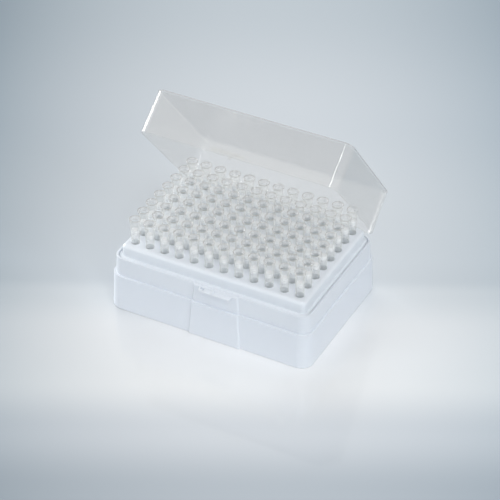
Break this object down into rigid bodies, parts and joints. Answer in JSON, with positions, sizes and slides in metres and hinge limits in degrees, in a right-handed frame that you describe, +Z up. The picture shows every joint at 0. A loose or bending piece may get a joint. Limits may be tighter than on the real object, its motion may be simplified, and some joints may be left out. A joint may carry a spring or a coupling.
{
  "type": "pipette tip box",
  "caption": "Box of filter pipette tips: white base, raised rack of clear tips with white filters, and a clear snap lid on a rear hinge, standing half open",
  "frame": {"origin": "middle of the base's flat underside", "axes": "+X along the long front to the right, +Y towards the hinge at the back, +Z up"},
  "size_m": [0.1208, 0.1044, 0.1103],
  "materials": {
    "white_base": "satin white polypropylene, faintly blue",
    "white_rack": "satin white polypropylene",
    "clear_lid": "clear, slightly grey polypropylene, glossy",
    "clear_tip": "clear, slightly milky polypropylene",
    "white_filter": "porous white polyethylene"
  },
  "bodies": {
    "box": {"base": "white_base", "rack": "white_rack", "tip_G1": "clear_tip", "tip_G2": "clear_tip", "tip_G3": "clear_tip", "tip_G4": "clear_tip", "tip_G5": "clear_tip", "tip_G6": "clear_tip", "tip_G7": "clear_tip", "tip_G8": "clear_tip", "tip_G9": "clear_tip", "tip_G10": "clear_tip", "tip_G11": "clear_tip", "tip_G12": "clear_tip", "tip_H1": "clear_tip", "tip_H2": "clear_tip", "tip_H3": "clear_tip", "tip_H4": "clear_tip", "tip_H5": "clear_tip", "tip_H6": "clear_tip", "tip_H7": "clear_tip", "tip_H8": "clear_tip", "tip_H9": "clear_tip", "tip_H10": "clear_tip", "tip_H11": "clear_tip", "tip_H12": "clear_tip", "filter_G1": "white_filter", "filter_G2": "white_filter", "filter_G3": "white_filter", "filter_G4": "white_filter", "filter_G5": "white_filter", "filter_G6": "white_filter", "filter_G7": "white_filter", "filter_G8": "white_filter", "filter_G9": "white_filter", "filter_G10": "white_filter", "filter_G11": "white_filter", "filter_G12": "white_filter", "filter_H1": "white_filter", "filter_H2": "white_filter", "filter_H3": "white_filter", "filter_H4": "white_filter", "filter_H5": "white_filter", "filter_H6": "white_filter", "filter_H7": "white_filter", "filter_H8": "white_filter", "filter_H9": "white_filter", "filter_H10": "white_filter", "filter_H11": "white_filter", "filter_H12": "white_filter"},
    "lid": {"lid": "clear_lid"}
  },
  "joints": [
    {"name": "lid_hinge", "type": "hinge", "parent": "box", "child": "lid", "pos_m": [0, 0.0418, 0.0315], "axis": [-1, 0, 0], "range_deg": [-50.1, 58]}
  ]
}
